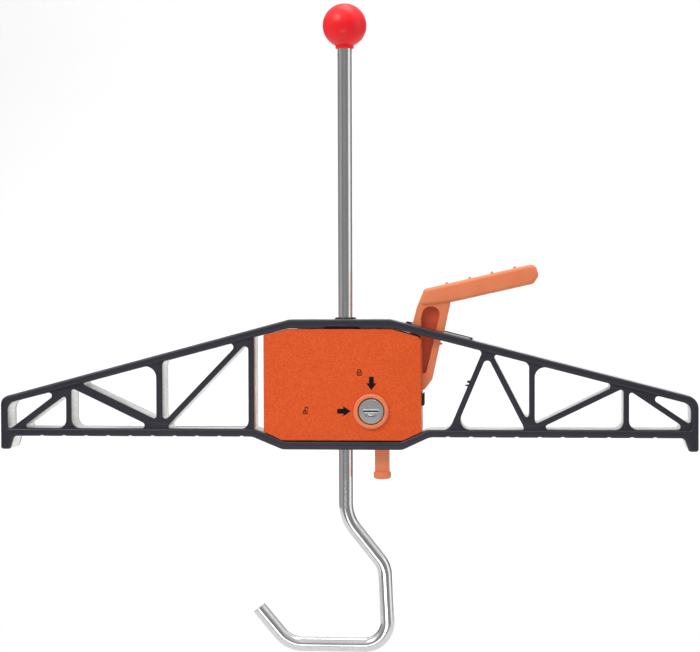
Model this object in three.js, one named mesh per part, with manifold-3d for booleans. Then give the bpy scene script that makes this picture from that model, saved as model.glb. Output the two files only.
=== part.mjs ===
// Steering wheel to pedal lock: a truss beam that lies across a steering wheel, with a sliding
// hooked rod that reaches down to a pedal, a squeeze lever that jacks the rod up, a release tab
// that lets it down, and a key lock.
// Millimetres. +X to the right along the beam, +Y away from the lock's face, +Z up the rod.
// The origin is on the rod's axis, level with the undersides of the beam's two arms.

import * as THREE from "three";
import { mergeVertices } from "three/addons/utils/BufferGeometryUtils.js";
import Module from "manifold-3d";

const wasm = await Module();
wasm.setup();

// ---------------------------------------------------------------- driving dimensions

const GAP = 0.3;                 // clearance kept between neighbouring pieces

const BEAM_HALF = 250;           // half the beam's length
const BEAM_FACE = 14;            // half the beam's depth over both covers
const CORE_FACE = 10.7;          // half the depth of the aluminium core
const COVER_BACK = CORE_FACE + GAP;
const WEB_FACE = 12.2;           // the covers' webs stand back from their rails
const HOOK_DROP = 9.5;           // how far the end hooks hang below the arms
const TOP_Z = 84.1;              // flat top of the beam over the lock block
const DIP_Z = -9.1;              // lowest part of the beam, under the lock block
const GROOVES = 10;              // grip grooves under each arm
const GROOVE_FIRST = 74;
const GROOVE_PITCH = 16.2;
const GROOVE_WIDTH = 3.2;
const GROOVE_DEPTH = 0.55;

const ROD_R = 5.2;
const ROD_HOLE_R = 5.6;
const ROD_TOP = 281.6;
const BALL_R = 15.8;
const BALL_Z = 294.5;

const HOUSING_FACE = 13.2;       // half the depth of the orange lock block
const PLATE_THICK = 2;
const WALL = 2.2;

const LOCK = { x: 19.3, z: 18.5 };
const LOCK_RING_R = 12.45;
const LOCK_BARREL_R = 9.2;
const LOCK_PLUG_R = 7.4;

const PIVOT = { x: 46, z: 42 };  // squeeze lever pivot
const PIVOT_R = 3;
const LEVER_HALF = 7;            // half the thickness of the lever's arm
const GRIP_HALF = 9;             // half the width of the lever's grip
const RAIL_SLOPE = 0.2573;       // fall of the beam's right shoulder per mm

const DRIVE_Z = 47;              // underside of the drive plate at rest
const PLATE_T = 3;               // thickness of both gripping plates
const BRAKE = { x: -20, z: 6.8 };// fulcrum of the brake plate
const BRAKE_TILT = 6;            // degrees that the brake plate leans at rest
const RELEASE_X = 26.3;

// ---------------------------------------------------------------- materials

const paint = (color, roughness, metalness = 0) =>
  new THREE.MeshStandardMaterial({ color, roughness, metalness });

const COVER = paint(0x30303a, 0.55);
const ALUMINIUM = paint(0xd8d8d6, 0.35, 1);
const STEEL = paint(0xb8babd, 0.25, 1);
const ORANGE_PLATE = paint(0xe0591f, 0.6);
const ORANGE = paint(0xe87d48, 0.5);
const RED = paint(0xe0202c, 0.3);
const BLACK = paint(0x101012, 0.6);
const ZINC = paint(0x8d9296, 0.35, 1);
const SPRING_STEEL = paint(0x9a9da0, 0.3, 1);

// ---------------------------------------------------------------- solids

function toSolid(geometry) {
  const bare = geometry.clone();
  bare.deleteAttribute("normal");
  bare.deleteAttribute("uv");
  const welded = mergeVertices(bare, 1e-4);
  return new wasm.Manifold(new wasm.Mesh({
    numProp: 3,
    vertProperties: Float32Array.from(welded.attributes.position.array),
    triVerts: Uint32Array.from(welded.index.array),
  }));
}

function toGeometry(solid) {
  const mesh = solid.getMesh();
  const geometry = new THREE.BufferGeometry();
  geometry.setAttribute("position", new THREE.BufferAttribute(mesh.vertProperties, 3));
  geometry.setIndex(new THREE.BufferAttribute(mesh.triVerts, 1));
  geometry.computeVertexNormals();
  return geometry;
}

// Joins the first list of geometries and cuts the second list away.
function carve(joined, cut = []) {
  let solid = toSolid(joined[0]);
  for (const geometry of joined.slice(1)) solid = solid.add(toSolid(geometry));
  for (const geometry of cut) solid = solid.subtract(toSolid(geometry));
  return toGeometry(solid);
}

// A slab between two depths, from an outline drawn in X and Z.
function slab(shape, y0, y1, curveSegments = 1) {
  const geometry = new THREE.ExtrudeGeometry(shape, { depth: y1 - y0, bevelEnabled: false, curveSegments });
  return geometry.rotateX(Math.PI / 2).translate(0, y1, 0);
}

function box(x0, x1, y0, y1, z0, z1) {
  return new THREE.BoxGeometry(x1 - x0, y1 - y0, z1 - z0)
    .translate((x0 + x1) / 2, (y0 + y1) / 2, (z0 + z1) / 2);
}

// A cylinder along Z, or along Y when upright is false.
function bar(radius, from, to, a, b, upright = true, sides = 20) {
  const geometry = new THREE.CylinderGeometry(radius, radius, to - from, sides);
  if (upright) return geometry.rotateX(Math.PI / 2).translate(a, b, (from + to) / 2);
  return geometry.translate(a, (from + to) / 2, b);
}

// A turned piece about Z from a profile of [radius, z] that starts and ends on the axis
// or closes on itself.
function turned(profile, sides = 24) {
  const points = profile.map(([r, z]) => new THREE.Vector2(r, z));
  return new THREE.LatheGeometry(points, sides).rotateX(Math.PI / 2);
}

// A ring about Z: inner radius, outer radius, low and high ends.
const ring = (inner, outer, z0, z1, sides = 24) =>
  turned([[inner, z0], [outer, z0], [outer, z1], [inner, z1], [inner, z0]], sides);

const SHORTEST_ARC = 0.35;       // a rounding that reaches less than this stays a plain corner

// Draws a closed outline of [x, z, corner radius] into a shape or hole, with round corners.
function draw(path, corners) {
  const count = corners.length;
  corners.forEach(([x, z, radius = 0], i) => {
    const before = corners[(i + count - 1) % count];
    const after = corners[(i + 1) % count];
    const back = new THREE.Vector2(before[0] - x, before[1] - z).normalize();
    const ahead = new THREE.Vector2(after[0] - x, after[1] - z).normalize();
    const half = Math.acos(THREE.MathUtils.clamp(back.dot(ahead), -1, 1)) / 2;
    const turn = back.cross(ahead);
    const point = new THREE.Vector2(x, z);
    const reach = radius / Math.tan(half);
    if (reach < SHORTEST_ARC) {
      if (i === 0) path.moveTo(x, z);
      else path.lineTo(x, z);
      return;
    }
    const start = point.clone().addScaledVector(back, reach);
    const centre = back.clone().add(ahead).normalize().multiplyScalar(radius / Math.sin(half)).add(point);
    const end = point.clone().addScaledVector(ahead, reach);
    const a0 = Math.atan2(start.y - centre.y, start.x - centre.x);
    const a1 = Math.atan2(end.y - centre.y, end.x - centre.x);
    if (i === 0) path.moveTo(start.x, start.y);
    else path.lineTo(start.x, start.y);
    path.absarc(centre.x, centre.y, radius, a0, a1, turn > 0);
  });
  path.closePath();
  return path;
}

const outline = (corners) => draw(new THREE.Shape(), corners);

const root = new THREE.Group();

function add(name, geometry, material, place = [0, 0, 0], parent = root) {
  const mesh = new THREE.Mesh(geometry, material);
  mesh.name = name;
  mesh.position.set(...place);
  parent.add(mesh);
  return mesh;
}

// ---------------------------------------------------------------- the beam

// The grip grooves under one arm, as extra corners of the outline, in the order of rising X.
function grooveCorners(side) {
  const corners = [];
  for (let i = 0; i < GROOVES; i++) {
    const step = side < 0 ? GROOVES - 1 - i : i;
    const x = side * (GROOVE_FIRST + GROOVE_PITCH * step);
    corners.push([x - GROOVE_WIDTH / 2, 0]);
    corners.push([x - GROOVE_WIDTH / 4, GROOVE_DEPTH]);
    corners.push([x + GROOVE_WIDTH / 4, GROOVE_DEPTH]);
    corners.push([x + GROOVE_WIDTH / 2, 0]);
  }
  return corners;
}

const BEAM_OUTLINE = [
  [-BEAM_HALF, -HOOK_DROP, 1.8],
  [-243.2, -HOOK_DROP, 1.8],
  [-240.4, 0, 3],
  ...grooveCorners(-1),
  [-66.5, 0, 8],
  [-44.5, DIP_Z, 8],
  [41.5, DIP_Z, 8],
  [61, 0, 9],
  ...grooveCorners(1),
  [240, 0, 3.5],
  [243.4, -HOOK_DROP, 2],
  [BEAM_HALF, -HOOK_DROP, 2],
  [BEAM_HALF, 28.1, 9],
  [33, TOP_Z, 14],
  [-39.6, TOP_Z, 14],
  [-BEAM_HALF, 27.9, 6.5],
];

// Openings between the truss members, from left to right.
const BLOCK_WINDOW = [
  [-65.1, 5.6, 1], [-43.4, -3.2, 5], [40.5, -3.2, 5], [59.5, 5.3, 9], [74.8, 5.3, 7],
  [98.5, 61.4, 2.5], [34.9, 77.7, 8], [-40.5, 77.7, 8], [-65.1, 71.7, 1],
];
const OPENINGS = [
  [[-245.2, 3.7, 1.8], [-202, 35.2, 2.2], [-245.2, 23.7, 6.5]],
  [[-235.4, 5.8, 1.8], [-202.1, 5.8, 5.8], [-202.1, 29.8, 1.5]],
  [[-198.2, 5.7, 6.5], [-137.2, 5.7, 2.2], [-198.2, 34.9, 1.8]],
  [[-191.1, 38.1, 1.1], [-136, 11.9, 1.8], [-136, 52.8, 8]],
  [[-131.5, 9.5, 2.2], [-73.9, 69.3, 2.7], [-131.5, 54, 4.3]],
  [[-129.7, 5.5, 1.8], [-69.1, 5.5, 5.8], [-69.1, 68.5, 2.5]],
  BLOCK_WINDOW,
  [[79.2, 5.5, 7], [128.5, 5.5, 1.5], [101.6, 58.3, 2.7]],
  [[131.4, 9.1, 1.8], [131.4, 53, 5], [105.2, 59.7, 1.8]],
  [[135.4, 9.4, 1.8], [192.6, 37.2, 2.2], [135.4, 51.9, 7]],
  [[137.1, 5.7, 1.8], [197.6, 5.7, 6], [197.6, 35.1, 1.8]],
  [[201.6, 5.9, 6], [242.5, 5.9, 2.2], [201.6, 33.6, 1.8]],
  [[244.7, 9.2, 1.8], [244.7, 23.9, 6.5], [209.8, 32.8, 2.3]],
];

// Inner edge of the raised rails, which the recessed webs cross.
const RAIL_INSIDE = [
  [-245.2, 5.7, 1], [-65.1, 5.7, 4], [-43.4, -3.2, 5], [40.5, -3.2, 5], [59.5, 5.3, 9],
  [244.7, 5.8, 1], [244.7, 23.9, 6.5], [34.9, 77.7, 8], [-40.5, 77.7, 8], [-245.2, 23.7, 6.5],
];

// Where truss members meet: a screw from the back and a peg from the front share each hole.
const NODES = [
  [-244.6, -0.5], [-203.5, 36.2], [-133.7, 4.3], [-70.6, 71.4], [-67.4, 3.2],
  [101.9, 62.3], [133.4, 4.2], [199.8, 37.5], [245.2, -0.5],
];
const NODE_HOLE_R = 1.6;
const NODE_SIDES = 10;

function trussShape() {
  const shape = outline(BEAM_OUTLINE);
  for (const corners of OPENINGS) shape.holes.push(draw(new THREE.Path(), corners));
  return shape;
}

function railShape() {
  const shape = outline(BEAM_OUTLINE);
  shape.holes.push(draw(new THREE.Path(), RAIL_INSIDE));
  return shape;
}

const nodeHoles = (y0, y1) =>
  NODES.map(([x, z]) => bar(NODE_HOLE_R, y0, y1, x, z, false, NODE_SIDES));

// The lever's slot through the sloping right shoulder of the beam.
const SLOT_X0 = 45.5;
const SLOT_X1 = 89.5;
const SLOT_HALF = LEVER_HALF + 1.3;
const shoulderZ = (x) => TOP_Z - RAIL_SLOPE * (x - 33);
const leverSlot = box(SLOT_X0, SLOT_X1, -SLOT_HALF, SLOT_HALF, 55, 90);

// Screws that hold the lock block up and down inside the window.
const TIE_TOP_X = [-24, 24];
const TIE_BOTTOM_X = [-34, 38.6];
const TIE_R = 1.7;
const TIE_HEAD_R = 3.4;
const TIE_HEAD = 2.2;

function tieHoles() {
  const holes = [];
  for (const x of TIE_TOP_X) {
    holes.push(bar(TIE_R + GAP, 70, 90, x, 0, true, 12));
    holes.push(bar(TIE_HEAD_R + GAP, TOP_Z - TIE_HEAD - 0.6, 90, x, 0, true, 16));
  }
  for (const x of TIE_BOTTOM_X) {
    holes.push(bar(TIE_R + GAP, -15, 5, x, 0, true, 12));
    holes.push(bar(TIE_HEAD_R + GAP, -15, DIP_Z + TIE_HEAD + 0.6, x, 0, true, 16));
  }
  return holes;
}

const BUSH_R = 7.2;
const RELEASE_HALF_X = 5.15;
const RELEASE_HALF_Y = 4;
const RELEASE_EAR = 7.4;
const RELEASE_POCKET_Z = -6.2;

add("frame_core", carve([slab(trussShape(), -CORE_FACE, CORE_FACE)], [
  ...nodeHoles(-20, 20),
  ...tieHoles(),
  leverSlot,
  bar(BUSH_R + GAP, 70, 90, 0, 0),
  bar(BUSH_R + GAP, -15, 5, 0, 0),
  box(RELEASE_X - RELEASE_HALF_X - 0.5, RELEASE_X + RELEASE_HALF_X + 0.5,
    -RELEASE_HALF_Y - 0.5, RELEASE_HALF_Y + 0.5, -15, 5),
  box(RELEASE_X - RELEASE_EAR - 0.5, RELEASE_X + RELEASE_EAR + 0.5,
    -RELEASE_HALF_Y - 0.5, RELEASE_HALF_Y + 0.5, RELEASE_POCKET_Z, 5),
]), ALUMINIUM);

const pegs = NODES.map(([x, z]) =>
  bar(NODE_HOLE_R - GAP, -WEB_FACE + 0.4, -5, x, z, false, NODE_SIDES));
add("front_cover", carve([
  slab(trussShape(), -WEB_FACE, -COVER_BACK),
  slab(railShape(), -BEAM_FACE, -COVER_BACK),
  ...pegs,
]), COVER);

const COVER_SCREW_HEAD_R = 2.5;
const COVER_SCREW_HEAD = 1.2;
const headSinks = NODES.map(([x, z]) =>
  bar(COVER_SCREW_HEAD_R + GAP, BEAM_FACE - COVER_SCREW_HEAD, 20, x, z, false, 14));
add("back_cover", carve([
  slab(trussShape(), COVER_BACK, WEB_FACE + 0.4),
  slab(railShape(), COVER_BACK, BEAM_FACE),
], [...nodeHoles(5, 20), ...headSinks]), COVER);

// A pan-head screw whose head is at local +Z and whose shank points to -Z.
function screwGeometry(shankR, length, headR, headHeight) {
  const recess = headHeight * 0.45;
  return carve([
    turned([[0, -length], [shankR, -length + shankR * 0.5], [shankR, 0], [headR, 0],
      [headR, headHeight * 0.6], [headR * 0.75, headHeight], [0, headHeight]], 12),
  ], [
    box(-headR * 0.55, headR * 0.55, -headR * 0.12, headR * 0.12, headHeight - recess, headHeight + 1),
    box(-headR * 0.12, headR * 0.12, -headR * 0.55, headR * 0.55, headHeight - recess, headHeight + 1),
  ]);
}

// Screws standing along Y: their heads face the back.
const backScrews = new THREE.Group();
backScrews.rotation.x = -Math.PI / 2;
root.add(backScrews);
NODES.forEach(([x, z], i) => {
  const sunk = Math.abs(x) > 240 ? BEAM_FACE : WEB_FACE + 0.4;
  add(`cover_screw_${i + 1}`, screwGeometry(1.3, sunk + 1, COVER_SCREW_HEAD_R, COVER_SCREW_HEAD),
    ZINC, [x, -z, sunk + (sunk === BEAM_FACE ? GAP - COVER_SCREW_HEAD : GAP)], backScrews);
});

// ---------------------------------------------------------------- the lock block

const BLOCK = [
  [-58, 3.7, 1.2], [-45, -2.5, 2], [41.5, -2.5, 2], [55, 3.6, 1.2], [55, 69.4, 2],
  [52.6, 71.8, 2], [33.8, 77.1, 4], [-36, 77.1, 4], [-58, 71.9, 1.2],
];
const BLOCK_INSIDE = [
  [-55.8, 5.2, 1], [-44.5, -0.4, 1], [41, -0.4, 1], [52.8, 5, 1], [52.8, 70, 1],
  [33.4, 74.9, 3], [-35.6, 74.9, 3], [-55.8, 70.1, 1],
];
const CORNER_POSTS = [[-49.5, 9.5], [45.5, 9.5], [-49.5, 65.5], [35.5, 66.5]];
const POST_R = 4;
const POST_HOLE_R = 1.8;
const SHELL_FRONT = -HOUSING_FACE + PLATE_THICK + GAP;
const SHELL_BACK = HOUSING_FACE - WALL;
const SHELF_Z = 27;

function housing() {
  const walls = outline(BLOCK);
  walls.holes.push(draw(new THREE.Path(), BLOCK_INSIDE));
  const joined = [
    slab(walls, SHELL_FRONT, HOUSING_FACE),
    slab(outline(BLOCK), SHELL_BACK, HOUSING_FACE),
    // a shelf between the two gripping plates, for the brake spring to push against
    box(-22, 9.2, -9, SHELL_BACK + 1, SHELF_Z, SHELF_Z + 3),
    // the ledge that the brake plate's left end rocks on
    box(-25, -16.5, -8, SHELL_BACK + 1, -1.5, BRAKE.z - 2.4),
    // the stop that the drive plate rests on
    box(-17, -11, -8, SHELL_BACK + 1, SHELF_Z + 1, DRIVE_Z - GAP),
    // the lever's pivot boss
    bar(PIVOT_R + 3, LEVER_HALF + GAP + 0.2, SHELL_BACK + 1, PIVOT.x, PIVOT.z, false),
  ];
  for (const [x, z] of CORNER_POSTS) {
    joined.push(bar(POST_R, SHELL_FRONT + 2, SHELL_BACK + 1, x, z, false, 16));
  }
  for (const x of TIE_TOP_X) joined.push(box(x - 4.5, x + 4.5, -5, SHELL_BACK + 1, 66, 75.5));
  for (const x of TIE_BOTTOM_X) joined.push(box(x - 4, x + 4, -5, SHELL_BACK + 1, -1.5, 4.2));
  const cut = [
    bar(ROD_HOLE_R, -10, 90, 0, 0),
    // the side slot that the lever comes out through
    box(50, 60, -LEVER_HALF - 1.3, LEVER_HALF + 1.3, 21.8, 90),
    box(38, 60, -LEVER_HALF - 1.3, LEVER_HALF + 1.3, 66, 90),
    bar(PIVOT_R + GAP, -10, SHELL_BACK - 0.5, PIVOT.x, PIVOT.z, false),
    box(RELEASE_X - RELEASE_EAR - 1, RELEASE_X + RELEASE_EAR + 1, -6.5, 6.5, -5, 1),
  ];
  for (const [x, z] of CORNER_POSTS) {
    cut.push(bar(POST_HOLE_R, -20, 20, x, z, false, 12));
    cut.push(bar(3.3, HOUSING_FACE - 1.4, 20, x, z, false, 16));
  }
  for (const x of TIE_TOP_X) cut.push(bar(TIE_R + GAP, 62, 90, x, 0, true, 12));
  for (const x of TIE_BOTTOM_X) cut.push(bar(TIE_R + GAP, -10, 10, x, 0, true, 12));
  return carve(joined, cut);
}

function frontPlate() {
  const joined = [slab(outline(BLOCK), -HOUSING_FACE, -HOUSING_FACE + PLATE_THICK, 3)];
  const behind = -HOUSING_FACE + PLATE_THICK - 0.5;
  joined.push(bar(PIVOT_R + 3, behind, -LEVER_HALF - GAP - 0.2, PIVOT.x, PIVOT.z, false));
  for (const [x, z] of CORNER_POSTS) {
    joined.push(bar(POST_R, behind, SHELL_FRONT + 2 - GAP, x, z, false, 16));
  }
  const cut = [
    bar(LOCK_BARREL_R + GAP, -30, 0, LOCK.x, LOCK.z, false, 28),
    bar(PIVOT_R + GAP, behind, 0, PIVOT.x, PIVOT.z, false),
  ];
  for (const [x, z] of CORNER_POSTS) cut.push(bar(POST_HOLE_R, behind, 0, x, z, false, 12));
  return carve(joined, cut);
}

add("housing", housing(), ORANGE);
add("front_plate", frontPlate(), ORANGE_PLATE);

CORNER_POSTS.forEach(([x, z], i) => {
  add(`housing_screw_${i + 1}`, screwGeometry(1.5, HOUSING_FACE + 9.5, 2.9, 1.2), ZINC,
    [x, -z, HOUSING_FACE - 1.2], backScrews);
});

TIE_TOP_X.forEach((x, i) => {
  add(`top_tie_screw_${i + 1}`, screwGeometry(TIE_R, 13, TIE_HEAD_R, TIE_HEAD), ZINC,
    [x, 0, TOP_Z - TIE_HEAD - 0.2]);
});
const hangingScrews = new THREE.Group();
hangingScrews.rotation.x = Math.PI;
root.add(hangingScrews);
TIE_BOTTOM_X.forEach((x, i) => {
  add(`bottom_tie_screw_${i + 1}`, screwGeometry(TIE_R, 10.5, TIE_HEAD_R, TIE_HEAD), ZINC,
    [x, 0, -DIP_Z - TIE_HEAD - 0.2], hangingScrews);
});

// ---------------------------------------------------------------- the key lock

// Pieces of the lock are turned about their own Z, which points out of the front.
const lock = new THREE.Group();
lock.position.set(LOCK.x, 0, LOCK.z);
lock.rotation.x = Math.PI / 2;
root.add(lock);

const PLATE_OUT = HOUSING_FACE;         // the front plate's face, measured along the lock
const BARREL_BACK = -2;

add("lock_ring", turned([
  [LOCK_BARREL_R + 0.35, PLATE_OUT + GAP], [LOCK_RING_R, PLATE_OUT + GAP],
  [LOCK_RING_R, PLATE_OUT + 1.3], [LOCK_RING_R - 0.7, PLATE_OUT + 1.9],
  [LOCK_BARREL_R + 0.9, PLATE_OUT + 1.9], [LOCK_BARREL_R + 0.35, PLATE_OUT + 1.4],
  [LOCK_BARREL_R + 0.35, PLATE_OUT + GAP],
], 36), ORANGE, [0, 0, 0], lock);

add("lock_barrel", ring(LOCK_PLUG_R + GAP, LOCK_BARREL_R, BARREL_BACK, PLATE_OUT + 0.5, 28),
  ZINC, [0, 0, 0], lock);

const NUT_TOP = PLATE_OUT - PLATE_THICK - GAP;
add("lock_nut", carve([bar(12.6, NUT_TOP - 2.6, NUT_TOP, 0, 0, true, 6)],
  [bar(LOCK_BARREL_R + GAP, 0, 20, 0, 0, true, 28)]), STEEL, [0, 0, 0], lock);

const HEAD_R = 8.8;
const KEYWAY = { half: 5.2, low: -0.4, high: 0.9 };
const SHUTTER = { half: 3.9, low: -3.5, high: -0.7 };
const plugHead0 = PLATE_OUT + 0.8;
const plugHead1 = PLATE_OUT + 1.7;
const TAIL_HALF = 2.2;
add("lock_plug", carve([
  turned([[0, BARREL_BACK - 0.5], [LOCK_PLUG_R, BARREL_BACK - 0.5], [LOCK_PLUG_R, plugHead0],
    [HEAD_R, plugHead0], [HEAD_R, plugHead1 - 0.3], [HEAD_R - 0.4, plugHead1], [0, plugHead1]], 28),
  box(-TAIL_HALF, TAIL_HALF, -TAIL_HALF, TAIL_HALF, -9.6, 0),
], [
  box(-KEYWAY.half, KEYWAY.half, KEYWAY.low, KEYWAY.high, 0, 20),
  box(-SHUTTER.half - 0.4, SHUTTER.half + 0.4, SHUTTER.low - 0.4, 0, plugHead1 - 6, 20),
]), ZINC, [0, 0, 0], lock);

const shutterShape = new THREE.Shape();
shutterShape.moveTo(-SHUTTER.half, SHUTTER.high);
shutterShape.absellipse(0, SHUTTER.high, SHUTTER.half, SHUTTER.high - SHUTTER.low, Math.PI, 2 * Math.PI);
shutterShape.closePath();
add("keyway_shutter", new THREE.ExtrudeGeometry(shutterShape,
  { depth: 0.7, bevelEnabled: false, curveSegments: 6 }), STEEL, [0, 0, plugHead1 - 1.4], lock);

const CAM_TOP = BARREL_BACK - 0.5 - GAP;
const camShape = outline([[-5.5, -5.5, 2.5], [9.4, -3.6, 2.5], [9.4, 3.6, 2.5], [-5.5, 5.5, 2.5]]);
camShape.holes.push(draw(new THREE.Path(), [
  [-TAIL_HALF - GAP, -TAIL_HALF - GAP], [TAIL_HALF + GAP, -TAIL_HALF - GAP],
  [TAIL_HALF + GAP, TAIL_HALF + GAP], [-TAIL_HALF - GAP, TAIL_HALF + GAP],
]));
add("lock_cam", new THREE.ExtrudeGeometry(camShape, { depth: 3, bevelEnabled: false, curveSegments: 2 })
  .translate(0, 0, CAM_TOP - 3), STEEL, [0, 0, 0], lock);
add("cam_clip", carve([ring(1.6, 5.2, CAM_TOP - 4.8, CAM_TOP - 3.3, 16)],
  [box(-TAIL_HALF - GAP, TAIL_HALF + GAP, -TAIL_HALF - GAP, TAIL_HALF + GAP, -20, 0),
    box(-0.9, 0.9, -8, 0, -20, 0)]), SPRING_STEEL, [0, 0, 0], lock);

// ---------------------------------------------------------------- rod, hook and knob

// Corners of the rod's centre line with the radius it is bent to.
const ROD_CORNERS = [
  [0, -59, 30], [27.8, -94.1, 20], [30.5, -151.3, 16.6], [-41.6, -151.3, 21.7],
];
const ROD_TIP = [-63.6, -124.8];

// The centre line, sampled at its straight ends and round its bends.
class BentLine extends THREE.Curve {
  constructor(start, corners, end, stepsPerBend) {
    super();
    this.points = [start];
    const all = [start, ...corners, end];
    corners.forEach(([x, z, radius], i) => {
      const corner = new THREE.Vector2(x, z);
      const back = new THREE.Vector2(...all[i]).sub(corner).normalize();
      const ahead = new THREE.Vector2(...all[i + 2]).sub(corner).normalize();
      const half = Math.acos(back.dot(ahead)) / 2;
      const centre = back.clone().add(ahead).normalize()
        .multiplyScalar(radius / Math.sin(half)).add(corner);
      const from = corner.clone().addScaledVector(back, radius / Math.tan(half)).sub(centre);
      const sweep = (Math.PI - 2 * half) * Math.sign(ahead.cross(back));
      for (let k = 0; k <= stepsPerBend; k++) {
        const point = from.clone().rotateAround(new THREE.Vector2(), (sweep * k) / stepsPerBend);
        this.points.push(point.add(centre).toArray());
      }
    });
    this.points.push(end);
    this.steps = this.points.length - 1;
  }
  getPointAt(u, target = new THREE.Vector3()) {
    const at = Math.min(u * this.steps, this.steps - 1e-6);
    const i = Math.floor(at + 1e-6);
    const f = Math.max(at - i, 0);
    const a = this.points[i];
    const b = this.points[Math.min(i + 1, this.steps)];
    return target.set(a[0] + (b[0] - a[0]) * f, 0, a[1] + (b[1] - a[1]) * f);
  }
  getTangentAt(u, target = new THREE.Vector3()) {
    const i = Math.round(u * this.steps);
    const a = this.points[Math.max(i - 1, 0)];
    const b = this.points[Math.min(i + 1, this.steps)];
    return target.set(b[0] - a[0], 0, b[1] - a[1]).normalize();
  }
}

function circleShape(radius, sides) {
  const shape = new THREE.Shape();
  for (let i = 0; i < sides; i++) {
    const angle = (2 * Math.PI * i) / sides;
    const x = radius * Math.cos(angle);
    const y = radius * Math.sin(angle);
    if (i === 0) shape.moveTo(x, y);
    else shape.lineTo(x, y);
  }
  shape.closePath();
  return shape;
}

const rodLine = new BentLine([0, ROD_TOP], ROD_CORNERS, ROD_TIP, 7);
add("rod", new THREE.ExtrudeGeometry(circleShape(ROD_R, 14), {
  steps: rodLine.steps, bevelEnabled: false, extrudePath: rodLine,
}), STEEL);

// The knob is a ball with a short neck, bored for the rod's end.
function knob() {
  const profile = [[ROD_R + GAP, -16.8], [ROD_R + 1.6, -16.8], [ROD_R + 1.9, -14.6]];
  for (let i = 1; i <= 12; i++) {
    const start = Math.asin(7.1 / BALL_R);
    const angle = start + ((Math.PI - start) * i) / 12;
    profile.push([i === 12 ? 0 : BALL_R * Math.sin(angle), -BALL_R * Math.cos(angle)]);
  }
  profile.push([0, -12.5], [ROD_R + GAP, -12.5], [ROD_R + GAP, -16.8]);
  return turned(profile, 28);
}
add("ball_knob", knob(), RED, [0, 0, BALL_Z]);

add("upper_rod_bush", turned([
  [ROD_HOLE_R, 78], [BUSH_R, 78], [BUSH_R, TOP_Z + GAP], [7.6, TOP_Z + GAP],
  [7.6, TOP_Z + 0.9], [7, TOP_Z + 1.3], [ROD_HOLE_R, TOP_Z + 1.3], [ROD_HOLE_R, 78],
]), BLACK);
add("lower_rod_bush", ring(ROD_HOLE_R, BUSH_R, DIP_Z + 0.2, -2.9), BLACK);

// ---------------------------------------------------------------- squeeze lever

const GRIP = [
  [53.5, 94], [76.1, 96.2, 1], [131.2, 108.4, 3], [136.4, 110.2, 2.5], [137.8, 113.8, 1.5],
  [135.4, 120.2, 3], [130.6, 122.6, 4], [57.2, 105.7, 3], [55.2, 104.6, 2],
];
const ARM = [
  [36.5, 33, 6], [56.5, 32.8, 5], [62.2, 40.3, 3], [68.5, 68.9, 2], [71.1, 75.6, 2], [76, 98, 1],
  [55.5, 102, 1], [51.6, 92.5, 1], [48.7, 81.5, 2],
];
const NOSE = [
  [9.6, 42.2, 1.8], [14, 39, 3], [40, 35, 2], [44, 46.4, 2], [9.6, 46.6, 1.5],
];
const POCKET = [
  [56, 44.6, 1], [58.6, 47.2, 1], [64, 70.7, 2], [69.2, 93.4, 5.5], [56.2, 92.4, 5.5],
  [54.2, 84, 2],
];
const GRIP_SLOPE = 0.2316;
const RIB_X = [72.9, 89.3, 105.2, 121.3];
const RIB = { half: 0.9, height: 1.2 };

function lever() {
  const joined = [
    slab(outline(GRIP), -GRIP_HALF, GRIP_HALF),
    slab(outline(ARM), -LEVER_HALF, LEVER_HALF),
    slab(outline(NOSE), -LEVER_HALF + 0.5, LEVER_HALF - 0.5),
  ];
  for (const x of RIB_X) {
    const z = 105.7 + GRIP_SLOPE * (x - 57.2);
    joined.push(slab(outline([
      [x - RIB.half - 0.6, z - 1.5], [x + RIB.half + 0.6, z - 1.2],
      [x + RIB.half * 0.5, z + RIB.height + 0.2], [x - RIB.half * 0.5, z + RIB.height],
    ]), -GRIP_HALF + 1.5, GRIP_HALF - 1.5));
  }
  return carve(joined, [
    slab(outline(POCKET), -LEVER_HALF - 1, -LEVER_HALF + 3),
    slab(outline(POCKET), LEVER_HALF - 3, LEVER_HALF + 1),
    bar(PIVOT_R + GAP, -20, 20, PIVOT.x, PIVOT.z, false),
  ]);
}
add("trigger_lever", lever(), ORANGE);
add("lever_pivot_pin", bar(PIVOT_R, -10.6, 10, PIVOT.x, PIVOT.z, false, 20), STEEL);

// The black frame round the lever's slot lies on the sloping shoulder.
const bezel = new THREE.Group();
const BEZEL_MID = (SLOT_X0 + SLOT_X1) / 2;
bezel.position.set(BEZEL_MID, 0, shoulderZ(BEZEL_MID));
bezel.rotation.y = Math.atan(RAIL_SLOPE);
root.add(bezel);
const BEZEL_HALF = 24.4;
const BEZEL_INNER = 20.6;
add("slot_bezel", carve([
  box(-BEZEL_HALF, BEZEL_HALF, -10.2, 10.2, GAP, 1.2),
], [box(-BEZEL_INNER, BEZEL_INNER + 2, -SLOT_HALF, SLOT_HALF, -5, 5)]), BLACK, [0, 0, 0], bezel);

add("side_slot_pad", carve([box(52.9, 56.6, -LEVER_HALF - 0.9, LEVER_HALF + 0.9, 22.2, 28.6)],
  [box(50, 54.9, -LEVER_HALF + 1, LEVER_HALF - 1, 24, 40)]), BLACK);

// ---------------------------------------------------------------- gripping plates and release

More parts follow.
